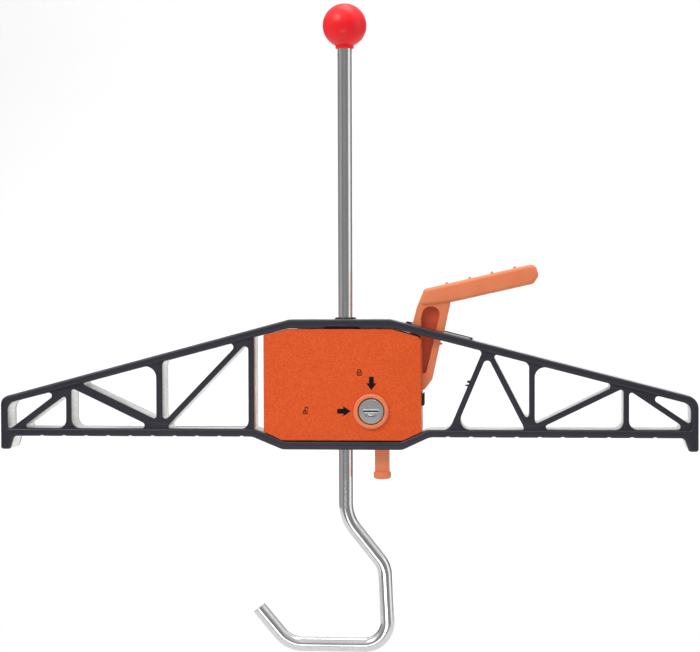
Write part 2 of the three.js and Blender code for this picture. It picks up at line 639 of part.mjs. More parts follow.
function gripPlate(x0, x1, half, holeX) {
  const shape = outline([[x0, -half, 2], [x1, -half, 2], [x1, half, 2], [x0, half, 2]]);
  shape.holes.push(draw(new THREE.Path(), [
    [-holeX, -ROD_HOLE_R - 0.1, 5.2], [holeX, -ROD_HOLE_R - 0.1, 5.2],
    [holeX, ROD_HOLE_R + 0.1, 5.2], [-holeX, ROD_HOLE_R + 0.1, 5.2],
  ]));
  return new THREE.ExtrudeGeometry(shape, { depth: PLATE_T, bevelEnabled: false, curveSegments: 2 });
}
add("drive_plate", gripPlate(-18, 17.5, 9, 5.8), STEEL, [0, 0, DRIVE_Z]);

const brake = new THREE.Group();
brake.position.set(BRAKE.x, 0, BRAKE.z);
brake.rotation.y = THREE.MathUtils.degToRad(BRAKE_TILT);
root.add(brake);
add("brake_plate", gripPlate(-24, 30, 8, 6.1), STEEL, [-BRAKE.x, 0, -PLATE_T / 2], brake);

// A round-wire spring about the rod, between two heights.
class Helix extends THREE.Curve {
  constructor(radius, z0, z1, turns) {
    super();
    Object.assign(this, { radius, z0, z1, turns });
  }
  getPoint(t, target = new THREE.Vector3()) {
    const angle = 2 * Math.PI * this.turns * t;
    return target.set(this.radius * Math.cos(angle), this.radius * Math.sin(angle),
      this.z0 + (this.z1 - this.z0) * t);
  }
}
const WIRE_R = 0.6;
function spring(z0, z1, turns) {
  return new THREE.ExtrudeGeometry(circleShape(WIRE_R, 5), {
    steps: turns * 11, bevelEnabled: false,
    extrudePath: new Helix(6.8, z0 + WIRE_R, z1 - WIRE_R, turns),
  });
}
add("drive_spring", spring(DRIVE_Z + PLATE_T + GAP, 74.5, 5), SPRING_STEEL);
add("brake_spring", spring(8.8, SHELF_Z - GAP, 4), SPRING_STEEL);

// The release tab: a flat stem with trapped shoulders and a round thumb button below.
const BUTTON_R = 6.3;
const BUTTON_TOP = -25.6;
add("release_tab", carve([
  box(-RELEASE_HALF_X, RELEASE_HALF_X, -RELEASE_HALF_Y, RELEASE_HALF_Y, BUTTON_TOP - 1, -0.6),
  box(-RELEASE_EAR, RELEASE_EAR, -RELEASE_HALF_Y, RELEASE_HALF_Y, RELEASE_POCKET_Z + GAP, -3.6),
  box(-2, 2, -RELEASE_HALF_Y + 0.5, RELEASE_HALF_Y - 0.5, -2, -0.05),
  turned([[0, BUTTON_TOP - 5.6], [BUTTON_R * 0.6, BUTTON_TOP - 5.3], [BUTTON_R - 0.5, BUTTON_TOP - 4.5],
    [BUTTON_R, BUTTON_TOP - 3.8], [BUTTON_R, BUTTON_TOP - 0.4], [BUTTON_R - 0.4, BUTTON_TOP],
    [0, BUTTON_TOP]]),
]), ORANGE, [RELEASE_X, 0, 0]);

export default root;
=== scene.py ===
"""The looks of a steering wheel to pedal lock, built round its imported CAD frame.

Metres, +X right along the beam, +Y away from the lock's face, +Z up the rod.
Outlines are given in millimetres, as pairs of X and Z with a corner radius.
"""

import math

import bmesh
import bpy
from mathutils import Matrix, Vector


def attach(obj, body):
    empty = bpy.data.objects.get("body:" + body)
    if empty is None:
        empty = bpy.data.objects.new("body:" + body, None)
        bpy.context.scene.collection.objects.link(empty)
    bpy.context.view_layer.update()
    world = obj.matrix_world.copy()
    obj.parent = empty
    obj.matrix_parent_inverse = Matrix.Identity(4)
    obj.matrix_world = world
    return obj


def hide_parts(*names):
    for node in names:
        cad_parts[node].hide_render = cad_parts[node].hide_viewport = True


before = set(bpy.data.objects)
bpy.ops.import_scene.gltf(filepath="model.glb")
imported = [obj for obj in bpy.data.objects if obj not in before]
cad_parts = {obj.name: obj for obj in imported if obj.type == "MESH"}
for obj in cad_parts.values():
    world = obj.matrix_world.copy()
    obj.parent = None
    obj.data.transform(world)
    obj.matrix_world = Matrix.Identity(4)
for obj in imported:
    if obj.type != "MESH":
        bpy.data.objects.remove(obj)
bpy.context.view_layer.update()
MM = 0.001   # Blender's metres to a millimetre

# ---------------------------------------------------------------- sizes, in millimetres

BEAM_FACE = 14.0      # depth of the rails' faces, in front and behind
CORE_FACE = 10.7      # depth of the aluminium core's faces
COVER_BACK = 11.0     # depth where each dark cover ends
WEB_FACE = 12.2       # depth of the recessed webs' faces
BLOCK_FACE = 13.2     # depth of the orange plate's face
TOP_Z = 84.1          # flat top of the beam
SHOULDER_X = 33.0     # where the right shoulder starts to fall
SLOPE = 0.2573        # fall of the right shoulder per millimetre
SLOT = (45.5, 89.5)   # the lever's slot through the shoulder, in X
SLOT_HALF = 8.3       # half of the slot's width
LOCK_X, LOCK_Z = 19.3, 18.5
TAB_X = 26.3          # middle of the release tab
ROD_R = 5.2
PIVOT = (46.0, 42.0)  # the lever's pin, in X and Z
LEVER_HALF = 7.0      # half the thickness of the lever's arm
GRIP_HALF = 9.0       # half the thickness of its grip


# ---------------------------------------------------------------- materials

def new_material(name):
    """A material with an empty node tree but for its shader and output."""
    made = bpy.data.materials.new(name)
    made.use_nodes = True
    nodes = made.node_tree.nodes
    return made, nodes, made.node_tree.links, nodes["Principled BSDF"]


def noise(nodes, links, scale, detail=3.0, rough=0.55, stretch=(1, 1, 1)):
    """A noise in the object's own metres, stretched along an axis where asked."""
    place = nodes.new("ShaderNodeTexCoord")
    mapping = nodes.new("ShaderNodeMapping")
    mapping.inputs["Scale"].default_value = stretch
    texture = nodes.new("ShaderNodeTexNoise")
    texture.inputs["Scale"].default_value = scale
    texture.inputs["Detail"].default_value = detail
    texture.inputs["Roughness"].default_value = rough
    links.new(place.outputs["Object"], mapping.inputs["Vector"])
    links.new(mapping.outputs["Vector"], texture.inputs["Vector"])
    return texture.outputs["Fac"]


def spread(nodes, links, value, low, high, start=0.3, stop=0.7):
    """Maps a noise onto a range of values."""
    ramp = nodes.new("ShaderNodeMapRange")
    ramp.inputs["From Min"].default_value = start
    ramp.inputs["From Max"].default_value = stop
    ramp.inputs["To Min"].default_value = low
    ramp.inputs["To Max"].default_value = high
    links.new(value, ramp.inputs["Value"])
    return ramp.outputs["Result"]


def blend_colours(nodes, links, value, first, second):
    """A colour between two, the first at a value of 0 and the second at 1."""
    mix = nodes.new("ShaderNodeMix")
    mix.data_type = "RGBA"
    mix.inputs["A"].default_value = (*first, 1)
    mix.inputs["B"].default_value = (*second, 1)
    links.new(value, mix.inputs["Factor"])
    return mix.outputs["Result"]


def bump(nodes, links, shader, heights, distance=0.0002):
    """Chains bumps onto a shader's normal. heights is a list of (value, strength)."""
    normal = None
    for value, strength in heights:
        node = nodes.new("ShaderNodeBump")
        node.inputs["Strength"].default_value = strength
        node.inputs["Distance"].default_value = distance
        links.new(value, node.inputs["Height"])
        if normal:
            links.new(normal, node.inputs["Normal"])
        normal = node.outputs["Normal"]
    links.new(normal, shader.inputs["Normal"])


def moulded(name, colour, dark, roughness, grain_scale=2200, grain=0.25, mottle=60, spec=0.5):
    """Moulded plastic: fine grain, a little colour drift and uneven gloss."""
    made, nodes, links, shader = new_material(name)
    drift = spread(nodes, links, noise(nodes, links, mottle), 0, 1)
    links.new(blend_colours(nodes, links, drift, colour, dark), shader.inputs["Base Color"])
    gloss = noise(nodes, links, 240, 4)
    links.new(spread(nodes, links, gloss, roughness - 0.06, roughness + 0.07), shader.inputs["Roughness"])
    shader.inputs["Specular IOR Level"].default_value = spec
    fine = noise(nodes, links, grain_scale, 2)
    wavy = noise(nodes, links, 90, 2)
    bump(nodes, links, shader, [(fine, grain), (wavy, 0.06)])
    return made


def metal(name, colour, dark, roughness, stretch=(1, 1, 1), scale=900, scratch=0.12, wide=0.1):
    """Metal with a drawn or ground grain along one axis and uneven polish."""
    made, nodes, links, shader = new_material(name)
    grain = noise(nodes, links, scale, 3, 0.6, stretch)
    patch = noise(nodes, links, 45, 3)
    tone = spread(nodes, links, grain, 0, 1)
    links.new(blend_colours(nodes, links, tone, colour, dark), shader.inputs["Base Color"])
    links.new(spread(nodes, links, patch, roughness - wide / 2, roughness + wide / 2),
              shader.inputs["Roughness"])
    shader.inputs["Metallic"].default_value = 1
    bump(nodes, links, shader, [(grain, scratch)], 0.00005)
    return made


COVER = moulded("cover_charcoal", (0.019, 0.018, 0.031), (0.015, 0.014, 0.025), 0.42, 1500, 0.12)
PLATE = moulded("plate_orange", (0.90, 0.124, 0.020), (0.70, 0.072, 0.006), 0.6, 1900, 0.9, 1100, 0.3)
ORANGE = moulded("body_orange", (0.87, 0.245, 0.102), (0.82, 0.22, 0.085), 0.42, 1500, 0.12)
# Painted shade: a darker orange for thin sheets on the lever's pocket floors, standing in for the shade in
# the recess. The lever itself is one orange moulding.
POCKET_SHADE = moulded("pocket_painted_shade", (0.62, 0.085, 0.018), (0.55, 0.07, 0.014), 0.5, 1500, 0.15)
BLACK = moulded("black_moulding", (0.012, 0.012, 0.013), (0.008, 0.008, 0.009), 0.55, 1500, 0.2)
INK = moulded("printed_ink", (0.006, 0.005, 0.005), (0.010, 0.007, 0.006), 0.7, 2200, 0.3, 60, 0.12)
RED = moulded("ball_red", (0.98, 0.010, 0.016), (0.95, 0.008, 0.013), 0.42, 300, 0.01, 30, 0.35)
RED.node_tree.nodes["Principled BSDF"].inputs["Coat Weight"].default_value = 0.1
RED.node_tree.nodes["Principled BSDF"].inputs["Coat Roughness"].default_value = 0.12
ALUMINIUM = metal("aluminium_satin", (0.80, 0.80, 0.785), (0.66, 0.66, 0.65), 0.4, (1, 0.08, 1), 700, 0.2,
                  0.12)
CHROME = metal("rod_steel", (0.74, 0.73, 0.735), (0.64, 0.635, 0.64), 0.17, (1, 1, 0.03), 1200, 0.12, 0.08)
LOCK_METAL = metal("lock_nickel", (0.52, 0.53, 0.54), (0.42, 0.43, 0.44), 0.3, (1, 1, 1), 1500, 0.25, 0.12)
LOCK_DARK = metal("lock_dark", (0.10, 0.075, 0.065), (0.06, 0.045, 0.04), 0.45, (1, 1, 1), 1500, 0.1)
# Painted highlight in part: a brighter, glossier copy of the lock's nickel for the plug's rim, the keyway's
# lips and its shutter. It is partly polished metal and partly stands in for their glints.
LOCK_POLISH_HIGHLIGHT = metal("lock_polish_and_highlight", (0.86, 0.87, 0.86), (0.74, 0.75, 0.75), 0.16, (1, 1, 1), 1500, 0.1)
GROUND = metal("ground_steel", (0.46, 0.46, 0.47), (0.38, 0.38, 0.39), 0.36, (0.05, 1, 1), 900, 0.3)
WIRE = metal("spring_wire", (0.40, 0.40, 0.42), (0.33, 0.33, 0.35), 0.3, (1, 1, 1), 1200, 0.1)
ZINC = metal("zinc_screw", (0.60, 0.61, 0.60), (0.50, 0.51, 0.50), 0.34, (1, 1, 1), 1000, 0.2)


# ---------------------------------------------------------------- mesh helpers

def arc(before, corner, after, radius, per_radian, fewest):
    """Points of the round that a radius makes of a corner between two straights."""
    back = (before - corner).normalized()
    ahead = (after - corner).normalized()
    half = back.angle(ahead) / 2
    centre = corner + (back + ahead).normalized() * (radius / math.sin(half))
    start = corner + back * (radius / math.tan(half)) - centre
    sweep = math.pi - 2 * half
    if back.cross(ahead) > 0:
        sweep = -sweep
    steps = max(fewest, round(per_radian * abs(sweep)))
    points = []
    for k in range(steps + 1):
        angle = sweep * k / steps
        points.append(centre + Vector((
            start.x * math.cos(angle) - start.y * math.sin(angle),
            start.x * math.sin(angle) + start.y * math.cos(angle),
        )))
    return points


LEAST_ROUND = 0.12    # a corner that a round would cut back by less than this stays sharp


def rounded(corners, segments=6):
    """Points of a closed outline of (x, z, radius) corners, with so many segments to a quarter turn."""
    count = len(corners)
    points = []
    for i, (x, z, *rest) in enumerate(corners):
        radius = rest[0] if rest else 0
        corner = Vector((x, z))
        before = Vector(corners[i - 1][:2])
        after = Vector(corners[(i + 1) % count][:2])
        half = (before - corner).angle(after - corner) / 2
        if half < 0.01 or radius / math.tan(half) < LEAST_ROUND:
            points.append(corner)
        else:
            points += arc(before, corner, after, radius, segments / 1.57, 2)
    return points


def finish_mesh(name, mesh, material, body, angle=35):
    """Makes an object of a mesh, smooth where its faces meet gently, riding on a body."""
    made = bpy.data.objects.new(name, mesh)
    bpy.context.scene.collection.objects.link(made)
    mesh.materials.clear()
    mesh.materials.append(material)
    mesh.shade_smooth()
    mesh.set_sharp_from_angle(angle=math.radians(angle))
    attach(made, body)
    return made


def slab_mesh(outline, holes, y0, y1, bevel=0.0, steps=3, segments=6):
    """A slab between two depths in millimetres, with rounded rims, from outlines in X and Z."""
    curve = bpy.data.curves.new("outline", "CURVE")
    curve.dimensions = "2D"
    curve.fill_mode = "BOTH"
    curve.bevel_mode = "ROUND"
    curve.bevel_depth = bevel * MM
    curve.bevel_resolution = steps
    curve.offset = -bevel * MM
    curve.extrude = ((y1 - y0) / 2 - bevel) * MM
    for corners in [outline, *holes]:
        points = rounded(corners, segments)
        spline = curve.splines.new("POLY")
        spline.points.add(len(points) - 1)
        for point, at in zip(spline.points, points):
            point.co = (at.x * MM, at.y * MM, 0, 1)
        spline.use_cyclic_u = True
    holder = bpy.data.objects.new("outline", curve)
    bpy.context.scene.collection.objects.link(holder)
    bpy.context.view_layer.update()
    mesh = bpy.data.meshes.new_from_object(holder.evaluated_get(bpy.context.evaluated_depsgraph_get()))
    bpy.data.objects.remove(holder)
    bpy.data.curves.remove(curve)
    middle = (y0 + y1) / 2 * MM
    mesh.transform(Matrix.Translation((0, middle, 0)) @ Matrix.Rotation(math.pi / 2, 4, "X"))
    clean(mesh)
    return mesh


def soft_slab(outline, y0, y1, reach, steps=7):
    """A slab whose front and back faces are domed over towards the outline, like a soft grip."""
    points = rounded(outline, 9)
    centre = sum(points, Vector((0, 0))) / len(points)
    count = len(points)
    inward = []
    for i, at in enumerate(points):
        along = (points[(i + 1) % count] - points[i - 1]).normalized()
        across = Vector((-along.y, along.x))
        inward.append(across if across.dot(centre - at) > 0 else -across)
    work = bmesh.new()
    rings = []
    half = (y1 - y0) / 2
    middle = (y0 + y1) / 2
    for k in range(2 * steps + 2):
        front = k <= steps
        angle = math.pi / 2 * (k if front else 2 * steps + 1 - k) / steps
        inset = reach * (1 - math.sin(angle))
        depth = (half - reach) + reach * math.cos(angle)
        y = middle + (-depth if front else depth)
        rings.append([
            work.verts.new(((at.x + way.x * inset) * MM, y * MM, (at.y + way.y * inset) * MM))
            for at, way in zip(points, inward)
        ])
    for low, high in zip(rings, rings[1:]):
        for k in range(count):
            after = (k + 1) % count
            work.faces.new((low[k], low[after], high[after], high[k]))
    work.faces.new(rings[0])
    work.faces.new(list(reversed(rings[-1])))
    bmesh.ops.recalc_face_normals(work, faces=work.faces)
    mesh = bpy.data.meshes.new("soft")
    work.to_mesh(mesh)
    work.free()
    return mesh


def clean(mesh, gap=0.000004):
    """Merges doubled points and points every face outwards."""
    work = bmesh.new()
    work.from_mesh(mesh)
    bmesh.ops.remove_doubles(work, verts=work.verts, dist=gap)
    bmesh.ops.dissolve_degenerate(work, dist=gap / 4, edges=work.edges)
    bmesh.ops.recalc_face_normals(work, faces=work.faces)
    work.to_mesh(mesh)
    work.free()


def lathe_mesh(profile, sides=64, axis="Z", place=(0, 0, 0)):
    """A turned mesh from (radius, height) in millimetres. Its ends lie on the axis, or it closes."""
    mesh = bpy.data.meshes.new("turned")
    work = bmesh.new()
    rings = []
    for radius, height in profile:
        if radius < 1e-6:
            rings.append([work.verts.new((0, 0, height * MM))])
            continue
        rings.append([
            work.verts.new((radius * MM * math.cos(a), radius * MM * math.sin(a), height * MM))
            for a in (2 * math.pi * k / sides for k in range(sides))
        ])
    for low, high in zip(rings, rings[1:]):
        for k in range(sides):
            after = (k + 1) % sides
            face = [low[k % len(low)], low[after % len(low)], high[after % len(high)], high[k % len(high)]]
            unique = [v for i, v in enumerate(face) if v not in face[:i]]
            if len(unique) > 2:
                work.faces.new(unique)
    bmesh.ops.remove_doubles(work, verts=work.verts, dist=1e-7)
    bmesh.ops.recalc_face_normals(work, faces=work.faces)
    work.to_mesh(mesh)
    work.free()
    if axis == "-Y":
        mesh.transform(Matrix.Rotation(math.pi / 2, 4, "X"))
    mesh.transform(Matrix.Translation(Vector(place) * MM))
    return mesh


def box_mesh(x0, x1, y0, y1, z0, z1, bevel=0.0, steps=3):
    """A box with rounded edges, in millimetres."""
    mesh = bpy.data.meshes.new("box")
    work = bmesh.new()
    bmesh.ops.create_cube(work, size=1)
    for vert in work.verts:
        vert.co = Vector((
            (x0 + x1) / 2 + vert.co.x * (x1 - x0),
            (y0 + y1) / 2 + vert.co.y * (y1 - y0),
            (z0 + z1) / 2 + vert.co.z * (z1 - z0),
        )) * MM
    if bevel:
        bmesh.ops.bevel(work, geom=list(work.edges), offset=bevel * MM, segments=steps, profile=0.5,
                        affect="EDGES")
    bmesh.ops.recalc_face_normals(work, faces=work.faces)
    work.to_mesh(mesh)
    work.free()
    return mesh


def joined(meshes):
    """One mesh of several, left as separate shells."""
    work = bmesh.new()
    for mesh in meshes:
        work.from_mesh(mesh)
    made = bpy.data.meshes.new("joined")
    work.to_mesh(made)
    work.free()
    return made


def carved(mesh, cutters):
    """A mesh with each of several meshes cut from it."""
    holder = bpy.data.objects.new("carved", mesh)
    bpy.context.scene.collection.objects.link(holder)
    tools = []
    for cutter in cutters:
        tool = bpy.data.objects.new("cutter", cutter)
        bpy.context.scene.collection.objects.link(tool)
        tools.append(tool)
        step = holder.modifiers.new("cut", "BOOLEAN")
        step.operation = "DIFFERENCE"
        step.solver = "EXACT"
        step.object = tool
    bpy.context.view_layer.update()
    made = bpy.data.meshes.new_from_object(holder.evaluated_get(bpy.context.evaluated_depsgraph_get()))
    for thing in [holder, *tools]:
        bpy.data.objects.remove(thing)
    clean(made)
    return made


def bar_mesh(radius, low, high, x, z, sides=40, chamfer=0.0):
    """A cylinder along Y."""
    profile = [(0, low), (radius - chamfer, low), (radius, low + chamfer), (radius, high - chamfer),
               (radius - chamfer, high), (0, high)]
    if not chamfer:
        profile = [(0, low), (radius, low), (radius, high), (0, high)]
    mesh = lathe_mesh(profile, sides)
    mesh.transform(Matrix.Rotation(-math.pi / 2, 4, "X"))
    mesh.transform(Matrix.Translation(Vector((x, 0, z)) * MM))
    return mesh


def bar_up_mesh(radius, low, high, x, sides=48):
    """A cylinder along Z, in the middle of the depth."""
    mesh = lathe_mesh([(0, low), (radius, low), (radius, high), (0, high)], sides)
    mesh.transform(Matrix.Translation(Vector((x, 0, 0)) * MM))
    return mesh


# ---------------------------------------------------------------- the beam

GROOVES = 10
GROOVE_START = 74.0
GROOVE_PITCH = 16.2


def grooves(side):
    """The grip grooves under one arm, as corners in the order of rising X."""
    corners = []
    for i in range(GROOVES):
        x = side * (GROOVE_START + GROOVE_PITCH * (GROOVES - 1 - i if side < 0 else i))
        corners += [(x - 1.6, 0, 0.3), (x - 0.8, 0.55, 0.3), (x + 0.8, 0.55, 0.3), (x + 1.6, 0, 0.3)]
    return corners


# Outlines run round the shape as (x, z, corner radius).
BEAM_OUTLINE = [
    (-250, -9.5, 1.8), (-243.2, -9.5, 1.8), (-240.4, 0, 3), *grooves(-1),
    (-66.5, 0, 8), (-44.5, -9.1, 8), (41.5, -9.1, 8), (61, 0, 9), *grooves(1),
    (240, 0, 3.5), (243.4, -9.5, 2), (250, -9.5, 2), (250, 28.1, 9),
    (33, 84.1, 7), (-39.6, 84.1, 7), (-250, 27.9, 6.5),
]
OPENINGS = [
    [(-245.2, 3.7, 1.8), (-204.6, 34.0, 2.2), (-245.2, 23.7, 6.5)],
    [(-235.4, 5.8, 1.8), (-202.1, 5.8, 5.8), (-202.1, 29.8, 1.5)],
    [(-198.2, 5.7, 6.5), (-137.2, 5.7, 2.2), (-198.2, 34.9, 1.8)],
    [(-191.1, 38.1, 1.1), (-136, 11.9, 1.8), (-136, 52.8, 8)],
    [(-131.5, 9.5, 2.2), (-73.9, 69.3, 2.7), (-131.5, 54, 4.3)],
    [(-129.7, 5.5, 1.8), (-69.1, 5.5, 5.8), (-69.1, 68.5, 2.5)],
    [(-65.1, 5.6, 1), (-43.4, -3.2, 5), (40.5, -3.2, 5), (59.5, 5.3, 9), (74.8, 5.3, 7),
     (98.5, 61.4, 2.5), (34.9, 77.7, 8), (11.6, 77.7), (9.4, 78.8), (-13, 78.8), (-15.2, 77.7),
     (-40.5, 77.7, 8), (-65.1, 71.2, 1)],
    [(79.2, 5.5, 7), (128.5, 5.5, 1.5), (101.6, 58.3, 2.7)],
    [(131.4, 9.1, 1.8), (131.4, 53, 5), (105.2, 59.7, 1.8)],
    [(135.4, 9.4, 1.8), (192.6, 37.2, 2.2), (135.4, 51.9, 7)],
    [(137.1, 5.7, 1.8), (197.6, 5.7, 6), (197.6, 35.1, 1.8)],
    [(201.6, 5.9, 6), (242.5, 5.9, 2.2), (201.6, 33.6, 1.8)],
    [(244.7, 9.2, 1.8), (244.7, 23.9, 6.5), (209.8, 32.8, 2.3)],
]
RAIL_INSIDE = [
    (-245.2, 5.7, 1), (-65.1, 5.7, 4), (-43.4, -3.2, 5), (40.5, -3.2, 5), (59.5, 5.3, 9),
    (244.7, 5.8, 1), (244.7, 23.9, 6.5), (34.9, 77.7, 8), (11.6, 77.7), (9.4, 78.8), (-13, 78.8),
    (-15.2, 77.7), (-40.5, 77.7, 8), (-245.2, 23.7, 6.5),
]
EJECTOR_MARKS = [
    (-246.6, 2.5), (-207, 33.4), (-194.6, 38.0), (-133.8, 52.3), (-71.3, 70.6), (101.9, 60.2),
    (133.4, 52.6), (195.6, 38.0), (216.0, 29.8), (242.6, 8.0), (-246.8, 22.0),
]


def cut_flat(mesh, y, keep):
    """Keeps the part of a mesh on one side of a depth, -1 the front or 1 the back, and closes the cut."""
    work = bmesh.new()
    work.from_mesh(mesh)
    cut = bmesh.ops.bisect_plane(
        work, geom=[*work.verts, *work.edges, *work.faces], plane_co=(0, y * MM, 0),
        plane_no=(0, -keep, 0), clear_outer=True,
    )
    rim = [part for part in cut["geom_cut"] if isinstance(part, bmesh.types.BMEdge)]
    bmesh.ops.triangle_fill(work, edges=rim, use_beauty=True, use_dissolve=False)
    bmesh.ops.recalc_face_normals(work, faces=work.faces)
    work.to_mesh(mesh)
    work.free()
    return mesh


RAIL_ROUND = 1.7
WEB_ROUND = 0.5
CORE_ROUND = 0.25
MARK_R = 1.15
MARK_DEPTH = (0.3, 0.14)   # how far an ejector mark reaches into the web, and stands out of it


def cover(name, side, node, marks):
    """One moulded cover: rounded rails standing over recessed webs. side is -1 in front and 1 behind."""
    face, web, back = side * BEAM_FACE, side * WEB_FACE, side * COVER_BACK
    rails = slab_mesh(BEAM_OUTLINE, [RAIL_INSIDE], *sorted((face, 2 * back - face)), RAIL_ROUND, 6)
    webs = slab_mesh(BEAM_OUTLINE, OPENINGS, *sorted((web, 2 * back - web)), WEB_ROUND, 3)
    pieces = [cut_flat(rails, back, side), cut_flat(webs, back, side)]
    for x, z in marks:
        low, high = sorted((web - side * MARK_DEPTH[0], web + side * MARK_DEPTH[1]))
        pieces.append(bar_mesh(MARK_R, low, high, x, z, 24, 0.06))
    made = finish_mesh(name, joined(pieces), COVER, "beam", 40)
    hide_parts(node)


BUSH_HOLE_R = 7.5
SCREW_RECESS_R = 3.7
TOP_SCREWS = (-24, 24)
BOTTOM_SCREWS = (-34, 38.6)
ABOVE, BELOW = 90, -15     # cutters run out past the beam's top and bottom


def build_beam():
    """Two dark covers, and the aluminium core with the slot, bush holes and screw recesses cut in it."""
    cover("front_cover_shell", -1, "front_cover", EJECTOR_MARKS)
    cover("back_cover_shell", 1, "back_cover", [])
    body = slab_mesh(BEAM_OUTLINE, OPENINGS, -CORE_FACE, CORE_FACE, CORE_ROUND, 1)
    cutters = [
        box_mesh(*SLOT, -SLOT_HALF, SLOT_HALF, 55, ABOVE),
        bar_up_mesh(BUSH_HOLE_R, 70, ABOVE, 0),
        bar_up_mesh(BUSH_HOLE_R, BELOW, 5, 0),
        box_mesh(20.6, 32, -4.5, 4.5, BELOW, 5),
        box_mesh(18.4, 34.2, -4.5, 4.5, -6.2, 5),
    ]
    cutters += [bar_up_mesh(SCREW_RECESS_R, 81.3, ABOVE, x) for x in TOP_SCREWS]
    cutters += [bar_up_mesh(SCREW_RECESS_R, BELOW, -6.3, x) for x in BOTTOM_SCREWS]
    core = finish_mesh("truss_core", carved(body, cutters), ALUMINIUM, "beam", 40)
    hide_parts("frame_core")


# ---------------------------------------------------------------- the lock block

BLOCK = [
    (-58, 3.7, 1.2), (-45, -2.5, 2), (41.5, -2.5, 2), (55, 3.6, 1.2), (55, 69.4, 2),
    (52.6, 71.8, 2), (33.8, 77.1, 4), (-39.8, 77.25, 5), (-58, 73.0, 1.2),
]
PLATE_THICK = 2.0
PLATE_ROUND = 0.65
LOCK_HOLE_R = 9.5


def build_block():
    """The orange face plate, with a hole for the lock."""
    plate = slab_mesh(BLOCK, [], -BLOCK_FACE, -BLOCK_FACE + PLATE_THICK, PLATE_ROUND, 4)
    plate = carved(plate, [bar_mesh(LOCK_HOLE_R, -20, 0, LOCK_X, LOCK_Z, 64)])
    made = finish_mesh("face_plate", plate, PLATE, "beam", 30)
    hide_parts("front_plate")


# Painted shade: a black strip behind the gap between the plate and the top rail, standing in for the shadow
# in that gap.
SHADE_STRIP = [
    (-57.6, 68), (54.4, 68), (54.4, 72.2, 1), (34.6, 77.45, 3), (12, 77.45, 0.5), (9.6, 78.9, 0.5),
    (-13, 78.9, 0.5), (-15.4, 77.45, 0.5), (-40.4, 77.45, 3), (-57.6, 73.0, 0.5),
]
SHADE_STRIP_DEPTH = (-10.5, -9.6)
BURRS = [
    [(90.6, 40.6), (88.0, 40.6, 0.4), (87.1, 39.2, 0.3), (90.2, 38.3)],
    [(90.0, 37.9), (86.4, 37.7, 0.3), (85.9, 36.7, 0.3), (89.4, 36.3)],
]
BURR_DEPTH = (-12.1, -11.4)
PAD_HALF = 7.9       # half the width of the side pad, a little more than the lever's


def build_trim():
    """A black strip of painted shade in the shadowed gap over the block, the pad beside the lever and two
    mould burrs.
    """
    # Painted shade: the black strip fills the gap over the block where only shadow lies.
    finish_mesh("block_shade_strip", slab_mesh(SHADE_STRIP, [], *SHADE_STRIP_DEPTH), BLACK, "beam")
    recess = box_mesh(50, 54.9, -PAD_HALF + 1.9, PAD_HALF - 1.9, 24, 40)
    pad = carved(box_mesh(52.9, 56.6, -PAD_HALF, PAD_HALF, 22.2, 28.6, 0.25, 2), [recess])
    lip = box_mesh(55.7, 56.7, -PAD_HALF, PAD_HALF, 22.4, 31.0, 0.2, 2)
    made = finish_mesh("lever_side_pad", joined([pad, lip]), BLACK, "beam")
    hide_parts("side_slot_pad")
    burrs = [slab_mesh(outline, [], *BURR_DEPTH, 0.15, 2) for outline in BURRS]
    finish_mesh("mould_burrs", joined(burrs), COVER, "beam")


# ---------------------------------------------------------------- the lock

RING_R = 12.5
PLUG_R = 8.8
RIM_R = 7.95         # inside of the plug's raised rim
LIPS = [
    # x0, x1, y0, y1, z0, z1 and the rounding of each lip of the keyway, from the lock's axis, in brighter
    # metal that is partly polish and partly painted highlight
    (-5.7, 5.7, -15.1, -14.1, 0.8, 1.75, 0.44),
    (-5.4, 5.4, -14.95, -14.1, -1.15, -0.35, 0.38),
    (-1.8, 1.2, -14.75, -13.9, -3.3, -2.0, 0.5),
]


def at_lock(mesh):
    """Moves a mesh drawn round the origin onto the lock's axis."""
    mesh.transform(Matrix.Translation(Vector((LOCK_X, 0, LOCK_Z)) * MM))
    return mesh


